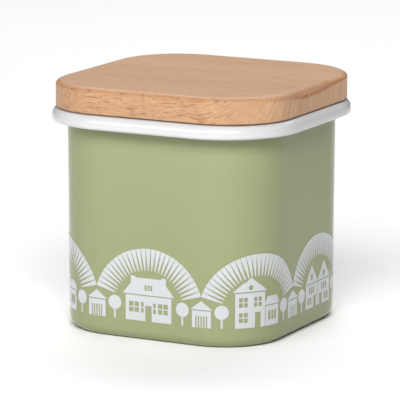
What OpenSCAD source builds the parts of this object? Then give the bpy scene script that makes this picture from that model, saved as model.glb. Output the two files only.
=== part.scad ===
// Square enamelled canister with a lift-off beech lid.
// Origin at the middle of the foot, +Z up, front side towards -Y.

/* [Tub] */
// Width across the flat sides, at the top of the wall
body_w = 110.2; // [104:0.1:114]
// Radius of the upright corners, at the top of the wall
corner_r = 30.9; // [26:0.1:36]
// How much narrower each side is at the foot than at the top
wall_draft = 0.7; // [0.2:0.1:1.5]
// Height of the rim's crest above the foot
crest_z = 105.4; // [80:0.1:140]
// Outside radius where the wall turns into the floor
base_r = 5; // [3:0.5:8]
// Width of the flat ring that the tub stands on
foot_w = 8; // [4:1:12]
// How far the floor is raised inside that ring
panel_rise = 1; // [0.5:0.1:2]
// Thickness of the steel sheet
steel_t = 0.7; // [0.5:0.1:1]
// Thickness of each enamel coat
coat_t = 0.25; // [0.2:0.05:0.35]

/* [Rim] */
// Width and height of the rolled bead
bead_d = 6.4; // [5.8:0.1:7.1]
// How far the bead stands out from the wall
bead_out = 7.4; // [7.2:0.1:9]
// Radius of the bend from the wall into the bead, on the inside
mouth_r = 4.2; // [3.5:0.1:4.4]
// Radius of the bead's shoulder, from the crest to the outer face
shoulder_r = 4; // [3:0.1:4.3]
// Radius of the bead's lower corners
curl_r = 1.6; // [1.3:0.1:2.2]

/* [Lid] */
// How far the board stands out beyond the wall
lid_out = 4.5; // [2:0.1:12]
// Corner radius of the board
lid_r = 32.6; // [28:0.1:40]
// Thickness of the board
lid_t = 12.5; // [10:0.1:18]
// Clearance between the board and the rim's crest
lid_gap = 0.2; // [0.1:0.1:0.5]
// Radius of the soft roll from the top of the board
soft_r = 4.5; // [3:0.5:5]
// Tighter radius where that roll turns into the side
edge_r = 1.4; // [1:0.1:2.5]
// Chamfer on the lower edges of the board and the plug
ease = 0.6; // [0.3:0.1:1]
// Depth of the plug under the board
plug_depth = 12; // [10:0.5:18]
// Gap between the plug and the inside of the wall
plug_gap = 2.3; // [1.8:0.1:4]

/* [Seal] */
// Height of the groove that holds the seal
groove_h = 4; // [3:0.5:5]
// Depth of that groove
groove_depth = 2; // [1:0.5:3]
// Height of the groove above the bottom of the plug
groove_up = 2.5; // [2:0.5:4]
// Clearance between the lips and the inside of the wall
lip_gap = 0.25; // [0.1:0.05:0.5]
// Thickness of each lip
lip_t = 0.8; // [0.5:0.1:1.2]

/* [Print] */
// Thickness of the printed layer
print_t = 0.15; // [0.1:0.05:0.3]
// Number of fans round the tub
fan_n = 7; // [7:1:8]
// Radius of a fan
fan_r = 28.8; // [28:0.1:32]
// Height of the fans' centres above the foot
fan_z = 15.4; // [12:0.1:20]
// Rays in a fan
ray_n = 27; // [15:2:31]
// Radius at which the rays begin
ray_in = 18.4; // [14:0.1:22]
// Gap between two rays at the edge of the fan
ray_gap = 0.2; // [0.15:0.05:0.6]
// Height of the ground that the houses stand on
ground_z = 9.6; // [7:0.1:14]

/* [Hidden] */
$fn = 96;

// Colours
enamel_green = [0.66, 0.69, 0.52];
enamel_white = [0.93, 0.94, 0.94];
print_white = [0.87, 0.88, 0.89];
beech = [0.80, 0.64, 0.52];
bare_steel = [0.45, 0.46, 0.48];
silicone = [0.90, 0.90, 0.87];

// The tub's plan is a rounded square whose corner centres stay put from foot to rim.
// Sections are drawn in (d, z), where d is the distance out from the corner centres.
flat_l = body_w - 2 * corner_r;
wall_t = steel_t + 2 * coat_t;
neck_z = crest_z - mouth_r;
bend_d = corner_r - wall_t + mouth_r;
bead_edge = corner_r + bead_out;
bead_back = bead_edge - bead_d;
bead_low = crest_z - bead_d;
back_curl = [bead_back + curl_r, bead_low + curl_r];
front_curl = [bead_edge - curl_r, bead_low + curl_r];
shoulder_pos = [bead_edge - shoulder_r, crest_z - shoulder_r];
base_d = wall_d(base_r) - base_r;

// Lid, glued up from staves of equal width side by side
stave_n = 5;
lid_w = body_w + 2 * lid_out;
lid_z = crest_z + lid_gap;
lid_flat_l = lid_w - 2 * lid_r;
stave_w = lid_w / stave_n;
// Slope at which the tighter radius takes over
knee_a = 40;
soft_pos = [lid_r - edge_r - (soft_r - edge_r) * sin(knee_a), lid_t - soft_r];
edge_pos = soft_pos + (soft_r - edge_r) * [sin(knee_a), cos(knee_a)];
plug_z = lid_z - plug_depth;
plug_d = corner_r - wall_t - plug_gap;
groove_z = plug_z + groove_up;
lip_d = wall_d(groove_z) - wall_t - lip_gap;

// Print
fan_top = fan_z + fan_r;
print_r = wall_d(fan_z);
quarter_l = flat_l + print_r * PI / 2;
ring_l = 4 * quarter_l;
fan_pitch = ring_l / fan_n;
// Angle above level at which neighbouring fans meet
meet_a = acos(fan_pitch / 2 / fan_r);
ray_a = (180 - 2 * meet_a) / ray_n;
// What runs over an upright corner is parted there by a hairline
part_a = 0.03;

// Distance of the outer face of the wall from the corner centres, at height z
function wall_d(z) = corner_r - wall_draft * (1 - z / neck_z);

// ---- Sweeps round a rounded square with straight sides of length l ----

module straight(l) {
    translate([l / 2, 0, 0])
        rotate([90, 0, 0])
            linear_extrude(l, center = true)
                children();
}

module swept(l) {
    for (turn = [0:90:270])
        rotate([0, 0, turn]) {
            straight(l) children();
            translate([l / 2, l / 2, 0])
                rotate_extrude(angle = 90)
                    children();
        }
}

// One side with half of the corner at each end
module swept_side(l, half_a) {
    straight(l) children();
    translate([l / 2, l / 2, 0])
        rotate_extrude(angle = half_a)
            children();
    translate([l / 2, -l / 2, 0])
        rotate([0, 0, -half_a])
            rotate_extrude(angle = half_a)
                children();
}

module core(l, z, h) {
    translate([-l / 2, -l / 2, z])
        cube([l, l, h]);
}

// ---- Sections of the tub: a layer lies between depths a and b under the outer face ----

module ring(r_out, r_in) {
    difference() {
        circle(r_out);
        circle(r_in);
    }
}

// A slice of a disc at the point given, between two angles
module sector(centre, r, from_a, to_a) {
    translate(centre)
        intersection() {
            circle(r);
            polygon([[0, 0], for (a = [from_a, (from_a + to_a) / 2, to_a]) 2 * r * [cos(a), sin(a)]]);
        }
}

module wall_section(a, b) {
    polygon([
        [wall_d(base_r) - b, base_r], [wall_d(base_r) - a, base_r],
        [wall_d(neck_z) - a, neck_z], [wall_d(neck_z) - b, neck_z]
    ]);
}

module turn_section(a, b) {
    translate([base_d, base_r])
        intersection() {
            ring(base_r - a, base_r - b);
            translate([0, -base_r])
                square(base_r);
        }
}

module floor_section(a, b) {
    foot_d = base_d - foot_w;
    panel_d = foot_d - panel_rise;
    polygon([
        [base_d, a], [base_d, b], [foot_d, b], [panel_d, b + panel_rise], [0, b + panel_rise],
        [0, a + panel_rise], [panel_d, a + panel_rise], [foot_d, a]
    ]);
}

module floor_layer(a, b) {
    swept(flat_l) floor_section(a, b);
    core(flat_l, a + panel_rise, b - a);
}

// The outline of the bead, drawn in by t
module bead_outline(t) {
    polygon([
        [bead_back + t, back_curl.y], back_curl, [back_curl.x, bead_low + t],
        [front_curl.x, bead_low + t], front_curl, [bead_edge - t, front_curl.y],
        [bead_edge - t, shoulder_pos.y], shoulder_pos, [shoulder_pos.x, crest_z - t],
        [bead_back + t, crest_z - t]
    ]);
    sector(back_curl, curl_r - t, 180, 270);
    sector(front_curl, curl_r - t, 270, 360);
    sector(shoulder_pos, shoulder_r - t, 0, 90);
}

// The bend and the rolled bead, for a layer between depths a and b under the white face
module rim_section(a, b) {
    translate([bend_d, neck_z])
        intersection() {
            ring(mouth_r - a, mouth_r - b);
            translate([-mouth_r, 0])
                square(mouth_r);
        }
    translate([bend_d, crest_z - b])
        square([shoulder_pos.x - bend_d, b - a]);
    difference() {
        bead_outline(a);
        bead_outline(b);
        translate([0, back_curl.y])
            square([shoulder_pos.x, bead_d]);
    }
}

// ---- Tub ----

module steel_tub() {
    color(bare_steel) {
        swept(flat_l) {
            wall_section(coat_t, coat_t + steel_t);
            turn_section(coat_t, coat_t + steel_t);
            floor_section(coat_t, coat_t + steel_t);
            rim_section(coat_t, coat_t + steel_t);
        }
        core(flat_l, coat_t + panel_rise, steel_t);
    }
}

module outer_enamel() {
    color(enamel_green)
        swept(flat_l) {
            wall_section(0, coat_t);
            turn_section(0, coat_t);
        }
}

module base_enamel() {
    color(enamel_green)
        floor_layer(0, coat_t);
}

module inner_enamel() {
    color(enamel_white) {
        swept(flat_l) {
            wall_section(wall_t - coat_t, wall_t);
            turn_section(wall_t - coat_t, wall_t);
            floor_section(wall_t - coat_t, wall_t);
        }
        core(flat_l, wall_t - coat_t + panel_rise, coat_t);
    }
}

module rim_enamel() {
    color(enamel_white)
        swept(flat_l)
            rim_section(0, coat_t);
}

// ---- Print: shapes are [where round the tub, outline, holes], in (s, z) ----

// The point (s, z) of the wall as seen square on to a side, with s along the wall from its middle
function seen(s, z) =
    let (turned = min(max(abs(s) - flat_l / 2, 0) / print_r * 180 / PI, 90))
    [sign(s) * (min(abs(s), flat_l / 2) + wall_d(z) * sin(turned)), z];

function wrapped(s) = s - ring_l * round(s / ring_l);

function rect(s, z, w, h) = [[s - w / 2, z], [s + w / 2, z], [s + w / 2, z + h], [s - w / 2, z + h]];

// A sloping roof with a ridge; a ridge of 0 makes a gable
function roof(s, z, w, rise, ridge) =
    [[s - w / 2, z], [s + w / 2, z], [s + ridge / 2, z + rise], [s - ridge / 2, z + rise]];

function disc(s, z, r) = [for (a = [0:20:340]) [s + r * cos(a), z + r * sin(a)]];

// A window of nx by nz panes
function panes(s, z, w, h, nx, nz) = [
    for (i = [0:nx - 1])
        for (j = [0:nz - 1])
            let (pane_w = (w - (nx - 1) * bar) / nx, pane_h = (h - (nz - 1) * bar) / nz)
            rect(s - w / 2 + pane_w / 2 + i * (pane_w + bar), z + j * (pane_h + bar), pane_w, pane_h)
];

// Width of a glazing bar and of the line under the eaves
bar = 0.5;
// Distance of a tree from the middle of its shed
tree_s = 9.7;

function cottage() = [
    [
        rect(0, 0, 24, 12),
        concat(
            panes(-7.6, 4, 5.2, 5, 2, 2), panes(7.6, 4, 5.2, 5, 2, 2), [rect(0, 0, 3.4, 7.4)],
            panes(-3.2, 4, 1.4, 5, 1, 2), panes(3.2, 4, 1.4, 5, 1, 2)
        )
    ],
    [roof(0, 12 + bar, 27, 8, 14), panes(0, 14.6, 4, 2.6, 3, 1)],
    [rect(-8, 15, 2.4, 6.2), []],
    [rect(8, 15, 2.4, 6.2), []]
];

function town_house() = [
    [
        rect(-4, 0, 15, 16.5),
        concat(
            panes(-7.6, 9.8, 4.2, 4.6, 2, 2), panes(-0.4, 9.8, 4.2, 4.6, 2, 2),
            panes(-7.6, 2.6, 4.2, 4.6, 2, 2), [rect(-0.4, 0, 3.2, 7.2)]
        )
    ],
    [roof(-4, 16.5 + bar, 17.5, 6.6, 0), [disc(-4, 19, 1.2)]],
    [rect(8.3, 0, 8.6, 9.4), panes(8.3, 2.6, 5.4, 4.4, 3, 1)],
    [roof(8.3, 9.4 + bar, 10.4, 4, 6), []]
];

function twin_gables() = [
    for (side = [-1, 1])
        for (shape = [
            [
                rect(6.6 * side, 0, 12.6, 11.4),
                concat(
                    panes(6.6 * side, 6.6, 5.4, 3.4, 3, 1), [rect(3.2 * side, 0, 3, 5.4)],
                    panes(9 * side, 1.6, 4.4, 3.4, 2, 1)
                )
            ],
            [roof(6.6 * side, 11.4 + bar, 13, 8.6, 0), [rect(6.6 * side, 13.4, 2.4, 2.6)]]
        ])
            shape
];

function shed() = [
    [rect(0, 0, 9.4, 8), [for (i = [-2:2]) rect(1.3 * i, 0, 0.7, 5.6)]],
    [roof(0, 8 + bar, 11, 4.2, 0), []]
];

function tree(s) = [
    [disc(s, 7.6, 3.4), []],
    [rect(s, 0, 0.9, 5), []]
];

// What stands in each fan, going round
home_kinds = [0, 1, 2, 0, 1, 2, 1];
homes = [cottage(), town_house(), twin_gables()];

function raised(outline) = [for (p = outline) p + [0, ground_z]];

// Shapes that stand on the ground at s
function placed(s, shapes) = [
    for (shape = shapes)
        [s, raised(shape[0]), [for (hole = shape[1]) raised(hole)]]
];

house_shapes = [
    for (i = [0:fan_n - 1])
        for (shape = concat(
            placed(i * fan_pitch, homes[home_kinds[i % len(home_kinds)]]),
            placed((i + 0.5) * fan_pitch, concat(shed(), tree(-tree_s), tree(tree_s)))
        ))
            shape
];

function at_angle(r, a) = [r * cos(a), fan_z + r * sin(a)];

fan_shapes = [
    for (i = [0:fan_n - 1])
        for (j = [0:ray_n - 1])
            let (
                mid_a = meet_a + (j + 0.5) * ray_a,
                wide_a = ray_a / 2 - ray_gap / 2 / fan_r * 180 / PI,
                tip_a = wide_a / 4
            )
            [
                i * fan_pitch,
                [
                    at_angle(ray_in, mid_a - tip_a),
                    at_angle(fan_r, mid_a - wide_a),
                    at_angle(fan_r, mid_a),
                    at_angle(fan_r, mid_a + wide_a),
                    at_angle(ray_in, mid_a + tip_a)
                ],
                []
            ]
];

module print_skin() {
    low = ground_z - 1;
    high = fan_top + 1;
    swept_side(flat_l, 45 - part_a)
        polygon([
            [wall_d(low), low], [wall_d(low) + print_t, low],
            [wall_d(high) + print_t, high], [wall_d(high), high]
        ]);
}

module printed(shapes) {
    for (side = [0:3])
        rotate([0, 0, 90 * side - 90])
            intersection() {
                print_skin();
                rotate([90, 0, 90])
                    linear_extrude(body_w)
                        for (shape = shapes) {
                            shift = wrapped(shape[0] - side * quarter_l);
                            reach = [for (p = shape[1]) p.x + shift];
                            if (min(reach) < quarter_l / 2 && max(reach) > -quarter_l / 2)
                                difference() {
                                    polygon([for (p = shape[1]) seen(p.x + shift, p.y)]);
                                    for (hole = shape[2])
                                        polygon([for (p = hole) seen(p.x + shift, p.y)]);
                                }
                        }
            }
}

module printed_fans() {
    color(print_white)
        printed(fan_shapes);
}

module printed_houses() {
    color(print_white)
        printed(house_shapes);
}

// ---- Lid ----

module board_section() {
    polygon([
        [0, 0], [lid_r - ease, 0], [lid_r, ease], [lid_r, edge_pos.y],
        edge_pos, soft_pos, [soft_pos.x, lid_t], [0, lid_t]
    ]);
    sector(edge_pos, edge_r, 0, 90 - knee_a);
    sector(soft_pos, soft_r, 90 - knee_a, 90);
}

module plug_section() {
    polygon([
        [0, plug_z], [plug_d - ease, plug_z], [plug_d, plug_z + ease],
        [plug_d, groove_z], [plug_d - groove_depth, groove_z],
        [plug_d - groove_depth, groove_z + groove_h], [plug_d, groove_z + groove_h],
        [plug_d, lid_z], [0, lid_z]
    ]);
}

module whole_lid() {
    translate([0, 0, lid_z]) {
        swept(lid_flat_l) board_section();
        core(lid_flat_l, 0, lid_t);
    }
    swept(flat_l) plug_section();
    core(flat_l, plug_z, plug_depth);
}

// Stave number i, counted from the front
module stave(i) {
    color(beech)
        intersection() {
            whole_lid();
            translate([-lid_w / 2, -lid_w / 2 + (i - 1) * stave_w, plug_z])
                cube([lid_w, stave_w, plug_depth + lid_t]);
        }
}

module seal_section() {
    back_d = plug_d - groove_depth;
    translate([back_d, groove_z])
        square([groove_depth, groove_h]);
    for (z = [groove_z, groove_z + groove_h - 2 * lip_t])
        polygon([
            [plug_d, z], [lip_d, z + lip_t], [lip_d, z + 1.5 * lip_t], [plug_d, z + 2 * lip_t]
        ]);
}

module seal_ring() {
    color(silicone)
        swept(flat_l)
            seal_section();
}

steel_tub();
outer_enamel();
base_enamel();
inner_enamel();
rim_enamel();
printed_fans();
printed_houses();
stave(1);  // lid_stave_1
stave(2);  // lid_stave_2
stave(3);  // lid_stave_3
stave(4);  // lid_stave_4
stave(5);  // lid_stave_5
seal_ring();
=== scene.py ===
"""Looks of the enamelled canister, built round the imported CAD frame. Metres, +Z up, front towards -Y."""
import math

import bpy
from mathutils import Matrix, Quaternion, Vector


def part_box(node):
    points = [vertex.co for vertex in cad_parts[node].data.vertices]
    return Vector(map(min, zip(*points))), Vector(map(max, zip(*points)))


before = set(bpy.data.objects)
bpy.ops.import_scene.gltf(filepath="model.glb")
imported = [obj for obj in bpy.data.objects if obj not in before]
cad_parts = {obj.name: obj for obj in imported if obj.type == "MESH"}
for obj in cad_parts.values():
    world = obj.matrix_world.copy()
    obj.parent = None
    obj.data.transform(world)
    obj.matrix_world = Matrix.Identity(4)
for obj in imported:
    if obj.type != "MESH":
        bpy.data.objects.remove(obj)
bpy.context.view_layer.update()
MM = 0.001

# ---- Camera and lights ----

# The camera looks at a point AIM_HEIGHT above the floor and AIM_LEFT to the left of the canister's axis.
CAMERA_AZIMUTH = math.radians(27.17)
CAMERA_ELEVATION = math.radians(11.21)
CAMERA_ROLL = math.radians(0.124)
CAMERA_DISTANCE = 1.6017
LENS_IN_MM = 302.6
SENSOR_IN_MM = 36
FARTHEST_SEEN = 20
AIM_HEIGHT = 0.0577
AIM_LEFT = 0.0011
# A spot on the floor 1.2 m behind the canister, as the camera sees it
BACKDROP_SPOT = (-0.55, 1.07, 0)
WORLD_STRENGTH = 0.04


def direction(azimuth, elevation):
    """Unit vector from the canister towards that azimuth (0 is the front) and elevation."""
    return Vector((
        math.sin(azimuth) * math.cos(elevation),
        -math.cos(azimuth) * math.cos(elevation),
        math.sin(elevation),
    ))


def add_object(name, data):
    """Puts a new object with that data in the scene."""
    obj = bpy.data.objects.new(name, data)
    bpy.context.scene.collection.objects.link(obj)
    return obj


def look(obj, back, roll=0.0):
    """Turns a camera or a light so that it looks along -back."""
    obj.rotation_euler = (back.to_track_quat("Z", "Y") @ Quaternion((0, 0, 1), roll)).to_euler()


def make_camera():
    data = bpy.data.cameras.new("camera")
    data.sensor_width = SENSOR_IN_MM
    data.lens = LENS_IN_MM
    data.clip_end = FARTHEST_SEEN
    camera = add_object("camera", data)
    back = direction(CAMERA_AZIMUTH, CAMERA_ELEVATION)
    right = Vector((math.cos(CAMERA_AZIMUTH), math.sin(CAMERA_AZIMUTH), 0))
    look(camera, back, CAMERA_ROLL)
    camera.location = Vector((0, 0, AIM_HEIGHT)) - right * AIM_LEFT + back * CAMERA_DISTANCE
    bpy.context.scene.camera = camera


def make_light(name, azimuth, elevation, distance, width, height, power, aim=(0, 0, AIM_HEIGHT)):
    """A soft rectangle that looks at aim, from azimuth and elevation in degrees. power is in watts."""
    data = bpy.data.lights.new(name, "AREA")
    data.shape = "RECTANGLE"
    data.size = width
    data.size_y = height
    data.energy = power
    light = add_object(name, data)
    back = direction(math.radians(azimuth), math.radians(elevation))
    look(light, back)
    light.location = Vector(aim) + back * distance


def make_world():
    """A faint even white light from all round."""
    world = bpy.data.worlds.new("studio")
    world.use_nodes = True
    background = world.node_tree.nodes["Background"]
    background.inputs["Color"].default_value = (1, 1, 1, 1)
    background.inputs["Strength"].default_value = WORLD_STRENGTH
    bpy.context.scene.world = world


# ---- Shader nodes ----

# Places of a colour Mix node's sockets, whose names it repeats for other kinds of value
MIX_FACTOR = 0
MIX_A = 6
MIX_B = 7
MIX_RESULT = 2


def is_socket(value):
    return isinstance(value, bpy.types.NodeSocket)


def set_inputs(tree, node, inputs):
    """Gives each named or numbered input a plain value, or a link from another node's socket."""
    for key, value in inputs.items():
        if is_socket(value):
            tree.links.new(value, node.inputs[key])
        else:
            node.inputs[key].default_value = value


def add_node(tree, kind, inputs=None, **settings):
    node = tree.nodes.new("ShaderNode" + kind)
    for key, value in settings.items():
        setattr(node, key, value)
    set_inputs(tree, node, inputs or {})
    return node


def new_material(name):
    """A new material with its node tree, its shader and the place on the object being shaded."""
    material = bpy.data.materials.new(name)
    material.use_nodes = True
    tree = material.node_tree
    shader = tree.nodes["Principled BSDF"]
    place = add_node(tree, "TexCoord").outputs["Object"]
    return material, tree, shader, place


def noise_value(tree, place, scale, detail=2.0, roughness=0.5, stretch=(1, 1, 1)):
    """Noise from 0 to 1. scale is in features per metre, before stretch."""
    mapped = add_node(tree, "Mapping", {"Vector": place, "Scale": stretch}).outputs["Vector"]
    inputs = {"Vector": mapped, "Scale": scale, "Detail": detail, "Roughness": roughness}
    return add_node(tree, "TexNoise", inputs).outputs["Fac"]


def remap(tree, value, low, high, to_low=0.0, to_high=1.0, smooth=False):
    """Moves value from the range low to high into the range to_low to to_high, and holds it there."""
    inputs = {"Value": value, "From Min": low, "From Max": high, "To Min": to_low, "To Max": to_high}
    kind = "SMOOTHSTEP" if smooth else "LINEAR"
    return add_node(tree, "MapRange", inputs, interpolation_type=kind).outputs["Result"]


def math_node(tree, operation, a, b=0.0):
    return add_node(tree, "Math", {0: a, 1: b}, operation=operation).outputs["Value"]


def product(tree, *values):
    result = values[0]
    for value in values[1:]:
        result = math_node(tree, "MULTIPLY", result, value)
    return result


def mix_colour(tree, factor, a, b, blend="MIX"):
    """Colour a with b laid over it. Each is an RGB colour or a socket."""
    a, b = (colour if is_socket(colour) else (*colour, 1) for colour in (a, b))
    inputs = {MIX_FACTOR: factor, MIX_A: a, MIX_B: b}
    return add_node(tree, "Mix", inputs, data_type="RGBA", blend_type=blend).outputs[MIX_RESULT]


def add_bump(tree, shader, layers):
    """Bumps from (height socket, height in metres), the first one lowest."""
    normal = None
    for height, distance in layers:
        inputs = {"Height": height, "Distance": distance, "Strength": 1.0}
        if normal:
            inputs["Normal"] = normal
        normal = add_node(tree, "Bump", inputs).outputs["Normal"]
    tree.links.new(normal, shader.inputs["Normal"])


# ---- Materials ----

# Colours, in linear RGB
BEECH_LIGHT = (0.560, 0.327, 0.180)
BEECH_DARK = (0.455, 0.25, 0.127)
BEECH_FLECK = (0.330, 0.148, 0.062)
# Brown of the burned band on the end grain, also used as painted shade on the top edge's roll
BEECH_BURNT_AND_ROLL_SHADE = (0.352, 0.125, 0.016)
# Dark brown of the painted shade on the chamfer along the lid's lower edge
BEECH_CHAMFER_SHADE = (0.15, 0.07, 0.03)
BEECH_PALE = (0.590, 0.391, 0.268)
GREEN = (0.290, 0.313, 0.166)
THIN_GREEN = (0.235, 0.259, 0.12)
WHITE = (0.605, 0.609, 0.612)
THIN_WHITE = (0.62, 0.64, 0.66)
PRINT = (0.551, 0.565, 0.589)
SILICONE = (0.78, 0.78, 0.74)
DUST = (0.6, 0.6, 0.56)
GROUND_COAT = (0.05, 0.055, 0.065)
WORN_COAT = (0.12, 0.12, 0.13)
PAPER = (0.92, 0.92, 0.92)

# Heights of the bumps
ENAMEL_WAVES = 0.35 * MM
ENAMEL_PEEL = 0.01 * MM
PRINT_GRAIN = 0.006 * MM
WOOD_FIBRES = 0.03 * MM
SILICONE_DUST = 0.01 * MM

# Marks in the beech, per metre along the grain, along the rays and along the rings
FLECKS = (190, 45, 2100)
SMALL_FLECKS = (350, 80, 2600)
PALE_RAYS = (40, 30, 1150)
FIBRES = (70, 1500, 1500)
SCORCHES = (120, 120, 700)
# Wave scale that puts the year rings about 5 mm apart
RING_SCALE = 62.0
# How far the grain sways to either side, along the rays and along the rings
RAY_SWAY = 1.5 * MM
RING_SWAY = 0.7 * MM
# How far along the grain each stave's pattern is moved from its neighbour's
STAVE_SHIFT = 0.37
# Each stave's ray angle in degrees and its tone, from the front one to the back one
STAVES = ((57, 0.99), (68, 0.97), (88, 1.0), (62, 1.04), (42, 0.98))

# Depth of the burned band below the lid's top, at its front, middle and back
LID_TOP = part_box("lid_stave_1")[1][2]
BAND_FRONT = 2.2 * MM
BAND_MIDDLE = 4.2 * MM
BAND_BACK = 1.2 * MM


def enamel(name, colour, thin_colour, roughness, ior):
    """Glossy vitreous enamel: cloudy tone, fine specks, orange peel and a slow waviness."""
    material, tree, shader, place = new_material(name)
    clouds = remap(tree, noise_value(tree, place, 28, 3), 0.3, 0.7)
    specks = remap(tree, noise_value(tree, place, 1500, 1), 0.62, 0.75, smooth=True)
    tone = mix_colour(tree, product(tree, clouds, 0.16), colour, thin_colour)
    tone = mix_colour(tree, product(tree, specks, 0.10), tone, thin_colour)
    gloss = remap(tree, noise_value(tree, place, 60, 3), 0.3, 0.7, roughness * 0.8, roughness * 1.2)
    set_inputs(tree, shader, {"Base Color": tone, "Roughness": gloss, "IOR": ior})
    peel = noise_value(tree, place, 320, 2)
    waves = noise_value(tree, place, 30, 1)
    add_bump(tree, shader, [(waves, ENAMEL_WAVES), (peel, ENAMEL_PEEL)])
    return material


def printed(name, colour, under_colour):
    """Fired-on print: a thin half-matt film that lets a little of the coat under it through."""
    material, tree, shader, place = new_material(name)
    film = remap(tree, noise_value(tree, place, 90, 4, 0.6), 0.35, 0.75)
    grain = remap(tree, noise_value(tree, place, 2600, 2), 0.4, 0.7)
    thin = product(tree, math_node(tree, "ADD", film, grain), 0.05)
    tone = mix_colour(tree, thin, colour, under_colour)
    gloss = remap(tree, grain, 0, 1, 0.22, 0.32)
    set_inputs(tree, shader, {"Base Color": tone, "Roughness": gloss})
    add_bump(tree, shader, [(grain, PRINT_GRAIN)])
    return material


def grain_space(tree, place, number, ray_angle):
    """Where a stave's grain is looked up: Y along the rays and across the year rings, Z along the rings."""
    moved = add_node(tree, "VectorMath", {0: place, 1: (STAVE_SHIFT * number, 0, 0)}, operation="ADD")
    turned = add_node(tree, "Mapping", {"Vector": moved.outputs["Vector"], "Rotation": (-ray_angle, 0, 0)})
    turned = turned.outputs["Vector"]
    sway = remap(tree, noise_value(tree, turned, 30, 2), 0, 1, -1, 1)
    drift = add_node(tree, "CombineXYZ", {
        "Y": product(tree, sway, RAY_SWAY),
        "Z": product(tree, sway, RING_SWAY),
    })
    bent = add_node(tree, "VectorMath", {0: turned, 1: drift.outputs["Vector"]}, operation="ADD")
    return bent.outputs["Vector"]


def streaks(tree, grain, stretch, low, high, detail=1.0, roughness=0.3):
    """Soft-edged marks, from 0 to 1, with stretch giving the marks per metre along each axis."""
    return remap(tree, noise_value(tree, grain, 1.0, detail, roughness, stretch), low, high, smooth=True)


def beech_marks(tree, grain):
    """The fibres, the dark flecks, the pale rays and the late wood of the year rings, each from 0 to 1."""
    fibres = noise_value(tree, grain, 1.0, 4, 0.6, FIBRES)
    large = streaks(tree, grain, FLECKS, 0.585, 0.69)
    small = streaks(tree, grain, SMALL_FLECKS, 0.56, 0.69)
    flecks = math_node(tree, "MAXIMUM", large, product(tree, small, 0.75))
    pale_rays = streaks(tree, grain, PALE_RAYS, 0.52, 0.64, roughness=0.4)
    rings = add_node(tree, "TexWave", {
        "Vector": grain, "Scale": RING_SCALE, "Distortion": 1.2, "Detail": 2.0, "Detail Scale": 2.0,
    }, wave_type="BANDS", bands_direction="Y", wave_profile="SAW").outputs["Fac"]
    late_wood = remap(tree, rings, 0.45, 1.0, smooth=True)
    return fibres, flecks, pale_rays, late_wood


def burned_band(tree, grain, position, across):
    """The cutter's burned band on the end grain, and how far a place is below the band's darkest line."""
    depth = math_node(tree, "SUBTRACT", LID_TOP, position["Z"])
    band_depth = math_node(
        tree, "MINIMUM",
        remap(tree, position["Y"], -30 * MM, -14 * MM, BAND_FRONT, BAND_MIDDLE),
        remap(tree, position["Y"], 0, 34 * MM, BAND_MIDDLE, BAND_BACK),
    )
    below_band = math_node(tree, "SUBTRACT", depth, band_depth)
    patchy = remap(tree, noise_value(tree, grain, 1.0, 2, 0.5, SCORCHES), 0.35, 0.6, 0.45, 1.0)
    band = product(
        tree,
        remap(tree, below_band, -2.0 * MM, -0.2 * MM, smooth=True),
        remap(tree, below_band, 0.2 * MM, 1.1 * MM, 1.0, 0.0, smooth=True),
        remap(tree, across, 0.7, 1.0, smooth=True),
        remap(tree, position["Y"], -28 * MM, -15 * MM, 0.3, 1.0),
        patchy,
    )
    return band, below_band


def painted_roll_shade(tree, upward, across, long_grain):
    """Painted shade that browns the top edge's roll, with a thin darker line where the roll turns into the
    long sides.
    """
    line = product(
        tree,
        remap(tree, upward, 0.35, 0.55, smooth=True),
        remap(tree, upward, 0.60, 0.80, 1.0, 0.0, smooth=True),
        long_grain,
        0.45,
    )
    roll = product(
        tree,
        remap(tree, upward, 0.02, 0.35, smooth=True),
        remap(tree, upward, 0.93, 0.995, 0.25, 0.0, smooth=True),
        remap(tree, across, 0.3, 0.8, 1.0, 0.25),
    )
    return math_node(tree, "MAXIMUM", roll, line)


def painted_chamfer_shade(tree, upward):
    """How much painted shade darkens a face that looks down at a slant, as the chamfer along the lower edge
    does.
    """
    return product(
        tree,
        remap(tree, upward, -0.55, -0.35, 1.0, 0.0, smooth=True),
        remap(tree, upward, -0.97, -0.85, smooth=True),
        0.8,
    )


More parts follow.
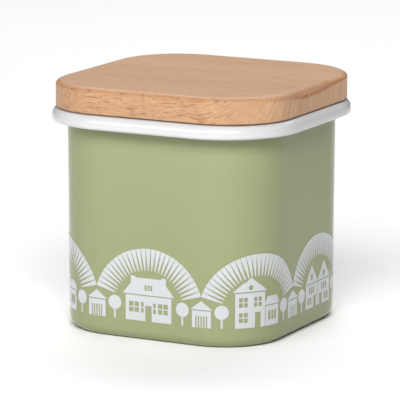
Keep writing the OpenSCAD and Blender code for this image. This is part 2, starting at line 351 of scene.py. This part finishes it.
def beech(name, number, ray_angle, tone):
    """Steamed beech with the grain along X. ray_angle is the direction of its rays in the YZ plane."""
    material, tree, shader, place = new_material(name)
    grain = grain_space(tree, place, number, ray_angle)
    position = add_node(tree, "SeparateXYZ", {"Vector": place}).outputs
    normal = add_node(tree, "NewGeometry").outputs["Normal"]
    facing = add_node(tree, "SeparateXYZ", {"Vector": normal}).outputs
    upward = facing["Z"]
    across = math_node(tree, "ABSOLUTE", facing["X"])
    end_grain = remap(tree, across, 0.5, 0.9, smooth=True)
    long_grain = remap(tree, across, 0.35, 0.75, 1.0, 0.0, smooth=True)
    on_sides = remap(tree, upward, 0.8, 0.98, 1.0, 0.3)

    fibres, flecks, pale_rays, late_wood = beech_marks(tree, grain)
    band, below_band = burned_band(tree, grain, position, across)
    seen_late = product(tree, late_wood, remap(tree, on_sides, 0.3, 1.0, 0.18, 0.3))
    seen_flecks = product(tree, flecks, remap(tree, long_grain, 0, 1, 0.05, 0.85), on_sides)
    seen_rays = product(tree, pale_rays, end_grain, 0.75, remap(tree, below_band, -0.3 * MM, 0.9 * MM))

    light, dark, fleck_tone, pale, burnt_and_roll_shade, chamfer_shade_tone = (
        tuple(c * tone for c in colour)
        for colour in (BEECH_LIGHT, BEECH_DARK, BEECH_FLECK, BEECH_PALE, BEECH_BURNT_AND_ROLL_SHADE, BEECH_CHAMFER_SHADE)
    )
    wood = mix_colour(tree, remap(tree, fibres, 0.35, 0.65), light, dark)
    wood = mix_colour(tree, seen_late, wood, dark)
    wood = mix_colour(tree, seen_flecks, wood, fleck_tone)
    wood = mix_colour(tree, seen_rays, wood, pale)
    # Painted shade on the top edge's roll, in the burnt colour
    wood = mix_colour(tree, painted_roll_shade(tree, upward, across, long_grain), wood, burnt_and_roll_shade)
    wood = mix_colour(tree, band, wood, burnt_and_roll_shade)
    # Painted shade, dark brown, on the chamfer along the lower edge
    wood = mix_colour(tree, painted_chamfer_shade(tree, upward), wood, chamfer_shade_tone)

    # A slow unevenness in the wood's tone, with painted shade making the top a little darker and painted
    # light making the end grain a little lighter
    clouds = noise_value(tree, place, 22, 2, 0.5, (0.5, 1.6, 1.6))
    shade = product(
        tree,
        remap(tree, clouds, 0.3, 0.7, 0.94, 1.05),
        remap(tree, upward, 0.2, 0.9, 1.0, 0.95),
        remap(tree, end_grain, 0, 1, 1.0, 1.07),
    )
    shade = add_node(tree, "CombineColor", {"Red": shade, "Green": shade, "Blue": shade}).outputs["Color"]
    wood = mix_colour(tree, 1.0, wood, shade, "MULTIPLY")
    gloss = remap(tree, fibres, 0.3, 0.7, 0.42, 0.56)
    set_inputs(tree, shader, {"Base Color": wood, "Roughness": gloss})
    height = math_node(tree, "SUBTRACT", fibres, product(tree, flecks, 0.6))
    add_bump(tree, shader, [(height, WOOD_FIBRES)])
    return material


def silicone(name):
    """Soft translucent silicone with a little dust on it."""
    material, tree, shader, place = new_material(name)
    dust = remap(tree, noise_value(tree, place, 400, 3), 0.45, 0.7)
    set_inputs(tree, shader, {
        "Base Color": mix_colour(tree, product(tree, dust, 0.2), SILICONE, DUST),
        "Roughness": remap(tree, dust, 0, 1, 0.38, 0.55),
        "Subsurface Weight": 0.3,
        "Subsurface Radius": (2 * MM, 2 * MM, 1.8 * MM),
    })
    add_bump(tree, shader, [(dust, SILICONE_DUST)])
    return material


def drawn_steel(name):
    """Dark fired ground coat on the sheet steel, left bare only inside the rolled bead."""
    material, tree, shader, place = new_material(name)
    wear = remap(tree, noise_value(tree, place, 500, 3), 0.35, 0.7)
    set_inputs(tree, shader, {
        "Base Color": mix_colour(tree, wear, GROUND_COAT, WORN_COAT),
        "Roughness": remap(tree, wear, 0, 1, 0.35, 0.6),
        "Metallic": 0.4,
    })
    return material


def paper(name):
    """Pale matt paper for the floor."""
    material, tree, shader, place = new_material(name)
    gloss = remap(tree, noise_value(tree, place, 40, 4), 0.3, 0.7, 0.75, 0.85)
    set_inputs(tree, shader, {"Base Color": (*PAPER, 1), "Roughness": gloss})
    return material


# ---- The CAD nodes' looks ----

def dress(node, material):
    """Gives a CAD node its material."""
    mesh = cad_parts[node].data
    mesh.materials.clear()
    mesh.materials.append(material)


green_enamel = enamel("green_enamel", GREEN, THIN_GREEN, roughness=0.16, ior=1.3)
white_enamel = enamel("white_enamel", WHITE, THIN_WHITE, roughness=0.13, ior=1.5)
white_print = printed("white_print", PRINT, GREEN)
dress("outer_enamel", green_enamel)
dress("base_enamel", green_enamel)
dress("inner_enamel", white_enamel)
dress("rim_enamel", white_enamel)
dress("printed_fans", white_print)
dress("printed_houses", white_print)
dress("steel_tub", drawn_steel("drawn_steel"))
dress("seal_ring", silicone("silicone"))
for i, (ray_angle, tone) in enumerate(STAVES, 1):
    dress(f"lid_stave_{i}", beech(f"beech_{i}", i, math.radians(ray_angle), tone))

# ---- The stage ----

# Half the width of the floor
FLOOR_HALF = 6.0


def make_floor():
    mesh = bpy.data.meshes.new("floor")
    corners = [(x * FLOOR_HALF, y * FLOOR_HALF, 0) for x, y in ((-1, -1), (1, -1), (1, 1), (-1, 1))]
    mesh.from_pydata(corners, [], [(0, 1, 2, 3)])
    mesh.materials.append(paper("paper_floor"))
    floor = add_object("floor", mesh)


make_camera()
make_floor()
make_world()
make_light("left_key", azimuth=-20, elevation=30, distance=1.9, width=1.2, height=0.8, power=10.5)
make_light("right_key", azimuth=25, elevation=40, distance=1.9, width=1.2, height=0.8, power=37)
make_light("back", azimuth=200, elevation=50, distance=1.9, width=1.6, height=1.2, power=16)
make_light(
    "backdrop", azimuth=207, elevation=89, distance=1.4, width=2.4, height=1.2, power=10,
    aim=BACKDROP_SPOT,
)
bpy.context.scene.view_settings.view_transform = "Standard"
